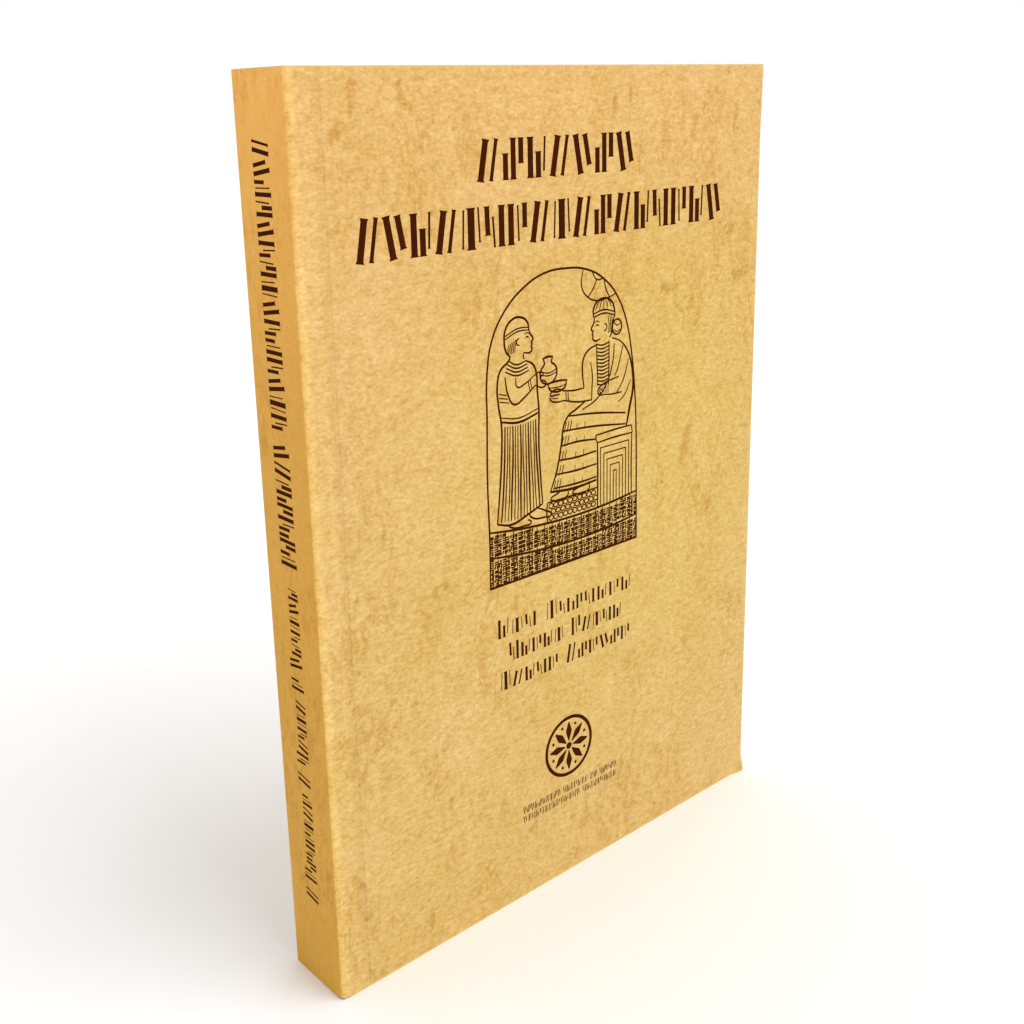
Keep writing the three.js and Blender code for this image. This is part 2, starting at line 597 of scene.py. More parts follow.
def leaf_finish(leaf):
    """Uncoated book paper, toned near the trim, with fine lines along the trimmed edges that are
    painted partly as the shade between leaves and partly as each leaf's own tone.
    """
    finish = Finish("book_paper", Roughness=0.85, Specular_IOR_Level=0.25)
    place = finish.place()
    across, through, up = finish.split(place)
    # Painted shade, in part: these lines along the trimmed edges stand partly for the shade between
    # leaves and partly for each leaf's own tone.
    sheets = finish.stretched(place, (0.05, 1.0, 0.05))
    lines = finish.noise(sheets, 0.35 * MM, detail=3.0, rough=0.7)
    bundles = finish.noise(sheets, 2.4 * MM, detail=2.0)
    fibres = finish.noise(place, 0.8 * MM, detail=3.0, rough=0.6)
    clouds = finish.noise(place, 22 * MM, detail=3.0)
    tone = 0.86 + lines * 0.16 + bundles * 0.12 - fibres * 0.16 - clouds * 0.16
    colour = finish.blend(tone.least(1.0), tint(leaf.paper_tone, 0.45), leaf.paper_tone)
    toned = across.rise(BLOCK_HIGH.x - 6 * MM, BLOCK_HIGH.x)
    toned = toned.most(up.rise(HEAD_Z - 4 * MM, HEAD_Z))
    toned = toned.most(1 - up.rise(TAIL_Z, TAIL_Z + 4 * MM)) * (0.3 + clouds * 0.5)
    colour = finish.blend(toned, colour, (0.97, 0.92, 0.80), "MULTIPLY")
    tooth = finish.bump(fibres, 0.04 * MM, 0.5)
    return finish.wear(Base_Color=colour, Normal=tooth)


def glue_finish(leaf):
    """Hot glue, waxy and a little yellow."""
    finish = Finish("binding_glue", Roughness=0.4)
    place = finish.place()
    lumps = finish.noise(place, 1.2 * MM, detail=2.0)
    colour = finish.blend(lumps, tint(leaf.glue_tone, 0.8), leaf.glue_tone)
    return finish.wear(Base_Color=colour, Normal=finish.bump(lumps, 0.1 * MM, 0.6))


def ink_finish(ink):
    """Dark brown ink, thinner where the grain of the card breaks it."""
    finish = Finish("brown_ink", Roughness=0.6, Specular_IOR_Level=0.02)
    place = finish.place()
    grain = finish.noise(place, 0.5 * MM, detail=2.0)
    clouds = finish.noise(place, 6 * MM, detail=2.0)
    thin = grain.rise(0.55, 0.8) * 0.5 + clouds * 0.25
    colour = finish.blend(thin, ink.ink_tone, tint(ink.ink_tone, 2.4))
    return finish.wear(Base_Color=colour, Roughness=0.5 + grain * 0.2)


def shared(name, maker, settings):
    """A material that several pieces wear, made the first time it is asked for."""
    return bpy.data.materials.get(name) or maker(settings)


# ---------------------------------------------------------------------------------------
# Cover card
# ---------------------------------------------------------------------------------------

PANEL_COLUMNS = 54
PANEL_ROWS = 80
SCORE_STEPS = 8
STRIP_STEPS = 3
FOLD_STEPS = 6
SPINE_STEPS = 14
# A corner's vertices lie within this distance of it.
TIP = 2 * MM


def blank_panel(side):
    """The flat of one cover, from the score to the fore-edge. side is -1 in front, 1 behind."""
    deselect()
    bpy.ops.mesh.primitive_grid_add(
        x_subdivisions=PANEL_COLUMNS,
        y_subdivisions=PANEL_ROWS,
        size=1,
        location=((SCORE_X + FORE_X) / 2, FRONT_Y if side < 0 else BACK_Y, (TAIL_Z + HEAD_Z) / 2),
        rotation=(-side * math.pi / 2, 0, 0),
    )
    panel = bpy.context.object
    panel.scale = (PANEL_WIDTH, HEIGHT, 1)
    return settle(panel, "panel")


def press_line(side, width, depth):
    """Draws the card's edge on towards the spine through one pressed groove."""
    sunk = 0.0
    for step in range(1, SCORE_STEPS + 1):
        target = depth * (1 - math.cos(2 * math.pi * step / SCORE_STEPS)) / 2
        extrude((-width / SCORE_STEPS, -side * (target - sunk), 0))
        sunk = target


def run_flat(distance, steps, direction=(-1, 0)):
    """Draws the card's edge on along a flat."""
    for _ in range(steps):
        extrude((direction[0] * distance / steps, direction[1] * distance / steps, 0))


def draw_strip(panel, side, card):
    """From the score to the spine fold: the pressed score, the guide line, the glued strip."""
    edge = min(v.co.x for v in panel.data.vertices)
    pick(panel, lambda co: co.x < edge + 0.01 * MM)
    drag((card.score_width / 2, 0, 0))
    press_line(side, card.score_width, card.score_depth)
    reached = SCORE_X - card.score_width / 2
    guide = SPINE_X + card.guide_inset
    run_flat(reached - guide - card.score_width / 2, STRIP_STEPS)
    press_line(side, card.score_width, card.guide_depth)
    fold = SPINE_X + card.fold_radius
    run_flat(guide - card.score_width / 2 - fold, STRIP_STEPS)


def draw_spine(card):
    """From the front fold round the spine panel to the back fold."""
    radius = card.fold_radius
    spin((SPINE_X + radius, FRONT_Y + radius), math.pi / 2, FOLD_STEPS)
    run_flat(THICKNESS - 2 * radius, SPINE_STEPS, (0, 1))
    spin((SPINE_X + radius, BACK_Y - radius), math.pi / 2, FOLD_STEPS)


def round_corners(panel, card):
    """Rubs the two free corners round."""
    pick(
        panel,
        lambda co: co.x > FORE_X - 0.1 * MM
        and not TAIL_Z + 0.1 * MM < co.z < HEAD_Z - 0.1 * MM,
    )
    bpy.ops.mesh.bevel(offset=card.corner_radius, segments=4, affect="VERTICES")


def near(point, reach):
    """A test for places within reach of a point."""
    return lambda co: (co - Vector(point)).length < reach


def finish_card(panel, card, name):
    """Gives a drawn card its finishes, its thickness, inwards, and its eased cut edges."""
    deselect()
    paint(
        panel,
        shared("parchment_card", card_finish, card),
        shared("card_inside", lining_finish, card),
        shared("card_cut_edge", cut_finish, card),
    )
    finish_modifier(panel, "WELD", merge_threshold=0.002 * MM)
    finish_modifier(
        panel,
        "SOLIDIFY",
        thickness=CARD,
        offset=-1,
        use_even_offset=True,
        material_offset=1,
        material_offset_rim=2,
    )
    finish_modifier(
        panel,
        "BEVEL",
        width=0.06 * MM,
        segments=1,
        limit_method="ANGLE",
        angle_limit=math.radians(50),
    )
    settle(panel, name)
    smooth(panel)
    keep_rest_place(panel)


class PAPERBACK_OT_front_card(bpy.types.Operator):
    """Front cover, spine and glued strip, as the one bent card that they are"""

    bl_idname = "paperback.front_card"
    bl_label = "Front cover and spine"

    def execute(self, context):
        card = context.scene.paperback_card
        sheet = blank_panel(-1)
        round_corners(sheet, card)
        draw_strip(sheet, -1, card)
        draw_spine(card)
        pick(sheet, near((FORE_X, FRONT_Y, TAIL_Z), TIP))
        drag((0.3 * MM, -card.tip_lift, 0), reach=7 * MM)
        pick(sheet, near((FORE_X, FRONT_Y, HEAD_Z), TIP))
        drag((0, -0.35 * card.tip_lift, 0), reach=22 * MM)
        crush = card.bump_crush
        pick(sheet, near((SPINE_X, FRONT_Y, TAIL_Z), card.fold_radius))
        drag((0.3 * crush, 0.3 * crush, crush), reach=2.6 * MM)
        finish_card(sheet, card, "front_cover_and_spine")
        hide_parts("front_cover", "cover_spine")
        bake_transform(sheet)
        return {"FINISHED"}


class PAPERBACK_OT_back_card(bpy.types.Operator):
    """Back cover, from the spine fold to the fore-edge"""

    bl_idname = "paperback.back_card"
    bl_label = "Back cover"

    def execute(self, context):
        card = context.scene.paperback_card
        sheet = blank_panel(1)
        round_corners(sheet, card)
        draw_strip(sheet, 1, card)
        pick(sheet, near((FORE_X, BACK_Y, TAIL_Z), TIP))
        drag((0, 0.3 * card.tip_lift, 0), reach=20 * MM)
        finish_card(sheet, card, "back_cover_card")
        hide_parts("back_cover")
        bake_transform(sheet)
        return {"FINISHED"}


# ---------------------------------------------------------------------------------------
# Leaves and glue
# ---------------------------------------------------------------------------------------

LEAF_COLUMNS = 8
LEAF_ROWS = 12
LEAF_CLEARANCE = 0.08 * MM
LOOSE_GROUPS = 14
LOOSE_RUNS = (1, 1, 2, 3, 5)
LEAVES_Y = BLOCK_LOW.y + LEAF_CLEARANCE
LEAVES_DEPTH = BLOCK_HIGH.y - BLOCK_LOW.y - 2 * LEAF_CLEARANCE


class PAPERBACK_OT_leaves(bpy.types.Operator):
    """The stack of trimmed leaves"""

    bl_idname = "paperback.leaves"
    bl_label = "Leaves"

    def execute(self, context):
        leaf = context.scene.paperback_leaf
        pitch = LEAVES_DEPTH / leaf.count
        thick = pitch * leaf.fill
        start = BLOCK_LOW.x + leaf.glue_depth
        deselect()
        bpy.ops.mesh.primitive_grid_add(
            x_subdivisions=LEAF_COLUMNS,
            y_subdivisions=LEAF_ROWS,
            size=1,
            location=(
                (start + BLOCK_HIGH.x) / 2,
                LEAVES_Y + (pitch - thick) / 2,
                (TAIL_Z + HEAD_Z) / 2,
            ),
            rotation=(math.pi / 2, 0, 0),
        )
        sheet = bpy.context.object
        sheet.scale = (BLOCK_HIGH.x - start, HEIGHT, 1)
        settle(sheet, "leaves")
        finish_modifier(sheet, "SOLIDIFY", thickness=thick, offset=-1)
        finish_modifier(
            sheet,
            "ARRAY",
            count=leaf.count,
            use_relative_offset=False,
            use_constant_offset=True,
            constant_offset_displace=(0, pitch, 0),
        )
        self.loosen(sheet, leaf, pitch)
        deselect()
        paint(sheet, leaf_finish(leaf))
        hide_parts("text_block")
        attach(sheet, "book")
        return {"FINISHED"}

    def loosen(self, sheet, leaf, pitch):
        """Moves groups of leaves a hair in or out at the head, the tail and the fore-edge."""
        draw = random.Random(7)
        edges = (
            (lambda co: co.x > BLOCK_HIGH.x - 1 * MM, (-1, 0, 0)),
            (lambda co: co.z > HEAD_Z - 1 * MM, (0, 0, -1)),
            (lambda co: co.z < TAIL_Z + 1 * MM, (0, 0, 1)),
        )
        for on_edge, inwards in edges:
            for _ in range(LOOSE_GROUPS):
                chosen = set()
                while len(chosen) < leaf.count // 9:
                    first = draw.randrange(leaf.count)
                    chosen.update(range(first, first + draw.choice(LOOSE_RUNS)))
                pick(sheet, lambda co: int((co.y - LEAVES_Y) / pitch) in chosen and on_edge(co))
                size = draw.uniform(0.15, 0.5) * leaf.ragged
                drag([size * part for part in inwards])
            bpy.ops.object.mode_set(mode="OBJECT")


class PAPERBACK_OT_glue(bpy.types.Operator):
    """The hot glue between the leaves and the spine card"""

    bl_idname = "paperback.glue"
    bl_label = "Glue"

    def execute(self, context):
        leaf = context.scene.paperback_leaf
        card = context.scene.paperback_card
        gap = 0.02 * MM
        sunk = 0.15 * MM
        low = Vector((BLOCK_LOW.x + gap, BLOCK_LOW.y + gap, TAIL_Z + sunk))
        high = Vector((BLOCK_LOW.x + leaf.glue_depth, BLOCK_HIGH.y - gap, HEAD_Z - sunk))
        deselect()
        bpy.ops.mesh.primitive_cube_add(size=1, location=(low + high) / 2)
        glue = bpy.context.object
        glue.scale = high - low
        settle(glue, "binding_glue")
        pick(glue, lambda co: co.x < BLOCK_LOW.x + 0.1 * MM)
        bpy.ops.mesh.bevel(offset=card.fold_radius - CARD - gap, segments=4, affect="EDGES")
        deselect()
        paint(glue, glue_finish(leaf))
        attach(glue, "book")
        return {"FINISHED"}


# ---------------------------------------------------------------------------------------
# Print
# ---------------------------------------------------------------------------------------

# Marks that stand in the place of lettering and are no letters. Each stroke runs from one
# place to another, given across and up as shares of the mark's width and height, and its
# weight is a share of the row's stem.
MARKS = (
    (
        ((0.14, 1.00), (0.14, 0.00), 1.0),
        ((0.50, 0.95), (0.54, 0.08), 0.3),
        ((0.86, 1.00), (0.86, 0.40), 0.85),
    ),
    (
        ((0.10, 0.00), (0.38, 1.00), 1.0),
        ((0.60, 0.00), (0.88, 1.00), 0.6),
    ),
    (
        ((0.08, 0.04), (0.14, 0.96), 0.3),
        ((0.50, 1.00), (0.50, 0.00), 1.2),
        ((0.92, 0.16), (0.86, 1.00), 0.3),
    ),
    (
        ((0.12, 1.00), (0.40, 0.00), 1.0),
        ((0.62, 1.00), (0.86, 0.22), 0.9),
    ),
    (
        ((0.16, 1.00), (0.16, 0.00), 1.0),
        ((0.56, 0.64), (0.56, 0.00), 0.95),
        ((0.90, 1.00), (0.84, 0.16), 0.35),
    ),
    (
        ((0.12, 0.64), (0.12, 0.00), 0.9),
        ((0.50, 1.00), (0.50, 0.00), 0.9),
        ((0.88, 1.00), (0.88, 0.38), 0.9),
    ),
    (
        ((0.84, 1.00), (0.84, 0.00), 1.0),
        ((0.48, 0.00), (0.40, 0.74), 0.35),
        ((0.10, 1.00), (0.14, 0.30), 0.85),
    ),
)
# The share of its pitch that a mark fills, and the gap between words, in pitches.
MARK_FILL = 0.84
WORD_GAP = 0.6
# Every pen line is drawn this much wider than its width says.
LINE_WEIGHT = 1.5


class Pen:
    """Draws flat strokes, in millimetres from an origin, that become one thin closed piece."""

    def __init__(self, name, origin=(0.0, 0.0)):
        deselect()
        bpy.ops.curve.primitive_bezier_curve_add()
        self.piece = bpy.context.object
        self.name = name
        self.origin = origin
        self.widest = 0.0
        curve = self.piece.data
        curve.splines.clear()
        curve.dimensions = "3D"
        curve.twist_mode = "Z_UP"
        curve.resolution_u = 4
        curve.bevel_depth = 0.5
        curve.bevel_resolution = 0
        curve.use_fill_caps = True

    def stroke(self, points, closed=False, straight=False):
        """A stroke through points (x, y, width), smooth unless it is straight."""
        straight = straight or len(points) == 2
        spline = self.piece.data.splines.new("POLY" if straight else "BEZIER")
        if not straight:
            spline.bezier_points.add(len(points) - 1)
            for knot, (x, y, width) in zip(spline.bezier_points, points):
                knot.co = (self.origin[0] + x, self.origin[1] + y, 0)
                knot.radius = width
                knot.handle_left_type = knot.handle_right_type = "AUTO"
        else:
            spline.points.add(len(points) - 1)
            for knot, (x, y, width) in zip(spline.points, points):
                knot.co = (self.origin[0] + x, self.origin[1] + y, 0, 1)
                knot.radius = width
        spline.use_cyclic_u = closed
        self.widest = max(self.widest, *(width for x, y, width in points))

    def line(self, *points, width=0.34, closed=False):
        """A pen line through points (x, y), a little thinner at its ends."""
        last = len(points) - 1
        width = width * LINE_WEIGHT
        widths = [width * (0.75 if i in (0, last) and not closed else 1.0) for i in range(last + 1)]
        self.stroke([(x, y, w) for (x, y), w in zip(points, widths)], closed)

    def ring(self, x, y, across, up, width=0.3, knots=8):
        """A closed oval."""
        turns = [2 * math.pi * i / knots for i in range(knots)]
        self.line(
            *((x + across * math.cos(a), y + up * math.sin(a)) for a in turns),
            width=width,
            closed=True,
        )

    def stem(self, start, end, width):
        """A straight stroke that spreads a little at both ends."""
        shape = ((0.0, 1.3), (0.06, 0.95), (0.94, 0.95), (1.0, 1.3))
        start, end = Vector(start), Vector(end)
        places = [(start.lerp(end, along), share) for along, share in shape]
        self.stroke([(place.x, place.y, share * width) for place, share in places], straight=True)

    def row(self, left, right, base, height, stem, words, seed, small=1.0):
        """A row of marks in words of so many. Marks after a word's first are lower, by small."""
        draw = random.Random(seed)
        pitch = (right - left) / (sum(words) + WORD_GAP * (len(words) - 1))
        across = left
        last = None
        for count in words:
            for place in range(count):
                last = draw.choice([mark for mark in MARKS if mark is not last])
                rise = height if place == 0 else height * small
                wide = pitch * MARK_FILL
                for (x0, y0), (x1, y1), weight in last:
                    start = (across + wide * x0, base + rise * y0)
                    end = (across + wide * x1, base + rise * y1)
                    self.stem(start, end, stem * weight)
                across += pitch
            across += pitch * WORD_GAP

    def ink(self, origin, across, up, relief):
        """Turns the strokes into a mesh that lies on the card along two directions."""
        take(self.piece)
        bpy.ops.object.convert(target="MESH")
        bpy.ops.object.mode_set(mode="EDIT")
        bpy.ops.mesh.select_all(action="SELECT")
        bpy.ops.mesh.remove_doubles(threshold=0.0005)
        bpy.ops.mesh.normals_make_consistent(inside=False)
        bpy.ops.object.mode_set(mode="OBJECT")
        across, up = Vector(across), Vector(up)
        out = across.cross(up)
        height = 2 * relief / self.widest
        turn = Matrix((across * MM, up * MM, out * height)).transposed().to_4x4()
        self.piece.matrix_world = Matrix.Translation(origin) @ turn
        settle(self.piece, self.name)
        smooth(self.piece)
        return self.piece


def down(distance):
    """Height over the tail, in millimetres, of a place given down from the head."""
    return HEIGHT / MM - distance


def print_front(pen, ink):
    """Lays a drawing on the front cover."""
    piece = pen.ink((SPINE_X, FRONT_Y, TAIL_Z), (1, 0, 0), (0, 0, 1), ink.relief)
    paint(piece, shared("brown_ink", ink_finish, ink))
    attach(piece, "front_cover")


class PAPERBACK_OT_front_titles(bpy.types.Operator):
    """Two bold rows of marks in the title's place"""

    bl_idname = "paperback.front_titles"
    bl_label = "Title rows"

    def execute(self, context):
        pen = Pen("front_title_rows")
        pen.row(55.0, 113.8, down(28.3), height=10.5, stem=2.05, words=(7,), seed=3)
        pen.row(17.0, 152.5, down(45.0), height=10.6, stem=2.05, words=(17,), seed=8)
        print_front(pen, context.scene.paperback_print)
        return {"FINISHED"}


class PAPERBACK_OT_front_names(bpy.types.Operator):
    """Lighter rows of marks in the place of the names and the imprint"""

    bl_idname = "paperback.front_names"
    bl_label = "Name rows"

    def execute(self, context):
        pen = Pen("front_name_rows")
        names = {"height": 5.6, "stem": 0.98, "small": 0.78}
        pen.row(57.8, 113.0, down(153.8), words=(3, 7), seed=5, **names)
        pen.row(62.0, 108.7, down(161.8), words=(5, 5), seed=6, **names)
        pen.row(58.5, 112.5, down(169.9), words=(5, 6), seed=7, **names)
        imprint = {"height": 2.2, "stem": 0.34}
        pen.row(66.2, 106.2, down(212.5), words=(10, 7, 2, 5), seed=11, **imprint)
        pen.row(66.2, 106.2, down(215.6), words=(14, 9), seed=12, **imprint)
        print_front(pen, context.scene.paperback_print)
        return {"FINISHED"}


class PAPERBACK_OT_front_ornament(bpy.types.Operator):
    """A plain rosette in the place of the imprint's sign"""

    bl_idname = "paperback.front_ornament"
    bl_label = "Ornament"

    def execute(self, context):
        pen = Pen("front_ornament", origin=(85.2, down(197.3)))
        petals = 8
        petal_shape = ((1.6, 0.4), (4.9, 2.5), (7.8, 0.5))
        dot_shape = ((6.6, 0.9), (7.5, 0.9))
        for half_turn in range(2 * petals):
            angle = math.pi * half_turn / petals
            across, up = math.sin(angle), math.cos(angle)
            shape = dot_shape if half_turn % 2 else petal_shape
            pen.stroke([(across * r, up * r, width) for r, width in shape])
        pen.ring(0, 0, 9.3, 9.3, width=0.75, knots=16)
        pen.ring(0, 0, 0.45, 0.45, width=0.9, knots=6)
        print_front(pen, context.scene.paperback_print)
        return {"FINISHED"}


PICTURE_HALF = 29.5


def draw_arch(pen):
    """The round-headed frame of the picture, drawn by a slightly unsteady hand."""
    pen.line(
        (-PICTURE_HALF, 0), (-29.3, 14), (-29.6, 31), (-29.2, 48), (-28.9, 60), (-26.9, 69.2),
        (-22.2, 76.4), (-15.6, 81.6), (-8.0, 84.7), (0.5, 85.2), (8.6, 84.0), (15.4, 80.6),
        (20.8, 75.2), (24.6, 67.6), (27.0, 57.4), (28.4, 46.0), (29.1, 33), (29.3, 16),
        (PICTURE_HALF, 0),
        width=0.42,
    )
    pen.line((7.0, 84.2), (6.4, 79.6), (8.6, 76.4), (12.6, 74.8), (17.2, 75.2), (20.4, 76.0))
    pen.line((10.4, 83.5), (12.4, 80.8), (15.2, 80.8))
    pen.line((9.0, 76.2), (11.0, 78.4), (12.4, 80.8))
    pen.line((17.6, 75.2), (16.0, 78.0), (15.4, 80.4))


def draw_standing(pen):
    """A robed figure that stands on the left and holds out a jar."""
    pen.line(
        (-13.7, 70.4), (-13.3, 69.2), (-12.2, 67.4), (-12.8, 66.9), (-12.6, 66.2),
        (-12.9, 65.6), (-12.6, 64.8), (-13.5, 64.0), (-15.6, 64.3),
        width=0.4,
    )
    pen.line((-14.9, 68.2), (-14.3, 68.5), (-13.8, 68.2), width=0.32)
    pen.line((-15.2, 69.2), (-14.4, 69.5), (-13.6, 69.2), width=0.26)
    pen.line((-17.2, 68.4), (-18.1, 68.0), (-17.9, 66.7), (-17.1, 66.5), width=0.3)
    pen.line(
        (-13.7, 70.4), (-14.2, 72.4), (-16.6, 74.0), (-19.6, 73.8), (-22.0, 71.6),
        (-22.6, 68.4), (-22.0, 65.4), (-20.4, 63.7),
        width=0.45,
    )
    for lock in range(5):
        drop = 0.9 * lock
        pen.line(
            (-17.6 - 0.9 * drop, 68.4 - 0.3 * drop), (-18.6 - 0.75 * drop, 66.8 - 0.3 * drop),
            (-18.9 - 0.6 * drop, 64.8 - 0.1 * drop),
            width=0.26,
        )
    pen.line((-13.6, 70.9), (-17.6, 71.1), (-22.3, 69.6), width=0.3)
    pen.line((-13.6, 70.2), (-17.7, 70.3), (-22.4, 68.7), width=0.3)
    pen.line((-15.6, 64.3), (-15.9, 63.2), (-15.5, 62.4))
    for turn in range(4):
        sink = 0.95 * turn
        pen.line(
            (-21.3 - 0.4 * turn, 62.9 - sink),
            (-18.4, 61.4 - 1.05 * sink),
            (-14.8 + 0.3 * turn, 62.0 - sink),
            width=0.36,
        )
    pen.line(
        (-20.6, 64.0), (-21.2, 62.8), (-24.0, 60.9), (-25.3, 57.4), (-25.2, 52.0),
        (-24.2, 45.8), (-24.3, 38.0), (-25.2, 28.0), (-26.4, 18.2),
        width=0.45,
    )
    pen.line(
        (-15.0, 62.0), (-12.4, 60.6), (-11.2, 58.2), (-10.9, 53.0), (-10.4, 47.4),
        (-10.6, 40.0), (-10.2, 30.0), (-9.4, 20.2),
        width=0.45,
    )
    pen.line((-26.4, 18.2), (-21.2, 16.9), (-15.4, 18.3), (-9.4, 20.2), width=0.5)
    folds = 13
    for fold in range(folds):
        share = (fold + 0.5) / folds
        swing = 0.14 * math.sin(2.4 * fold)
        pen.line(
            (-23.4 + 12.2 * share, 45.2 - 0.5 * math.sin(math.pi * share)),
            (-23.8 + 12.8 * share + swing, 36.0),
            (-24.6 + 14.2 * share - swing, 26.0),
            (-25.5 + 15.6 * share, 18.4 + 1.2 * share - 0.9 * math.sin(math.pi * share)),
            width=0.30 + 0.14 * (fold % 3 == 0),
        )
    pen.line((-24.3, 46.6), (-18.0, 45.4), (-10.5, 46.8), width=0.5)
    pen.line((-24.3, 47.8), (-18.0, 46.6), (-10.6, 48.0), width=0.3)
    pen.line((-22.6, 58.6), (-21.6, 53.6), (-19.4, 50.6), (-15.6, 52.0), (-11.6, 54.6), width=0.4)
    pen.line((-18.8, 57.8), (-18.2, 55.2), (-15.6, 55.6), (-12.0, 57.4))
    for cuff in range(3):
        sink = 1.1 * cuff
        pen.line((-24.9 + 0.1 * cuff, 54.4 - sink), (-22.1 + 0.4 * cuff, 53.6 - sink), width=0.32)
    pen.line((-13.6, 53.4), (-14.2, 56.3), width=0.34)
    pen.line((-12.9, 53.9), (-13.5, 56.7), width=0.34)
    pen.line((-11.6, 54.6), (-9.0, 53.6), (-7.6, 54.2), (-8.0, 55.2), (-9.6, 55.6), width=0.36)
    pen.line((-12.0, 57.4), (-9.9, 58.0), (-8.6, 57.3), (-9.6, 56.6), width=0.34)
    pen.line(
        (-8.5, 61.2), (-8.1, 60.0), (-9.4, 58.4), (-9.7, 56.4), (-8.4, 54.6), (-6.2, 54.2),
        (-4.2, 55.2), (-3.4, 57.2), (-4.2, 59.2), (-5.4, 60.1), (-5.1, 61.3),
        width=0.42,
    )
    pen.line((-8.8, 61.4), (-6.8, 61.8), (-4.8, 61.5), width=0.5)
    pen.line((-9.4, 57.9), (-6.5, 57.2), (-3.5, 57.9), width=0.28)
    pen.line((-9.5, 57.1), (-6.5, 56.4), (-3.5, 57.1), width=0.28)
    pen.line(
        (-14.6, 18.4), (-13.8, 17.2), (-8.6, 16.0), (-6.2, 16.2), (-8.2, 17.8), (-11.4, 19.4),
        width=0.4,
    )
    pen.line((-22.4, 17.0), (-21.6, 16.2), (-16.2, 15.4), (-13.9, 15.8), (-15.2, 16.9), width=0.4)


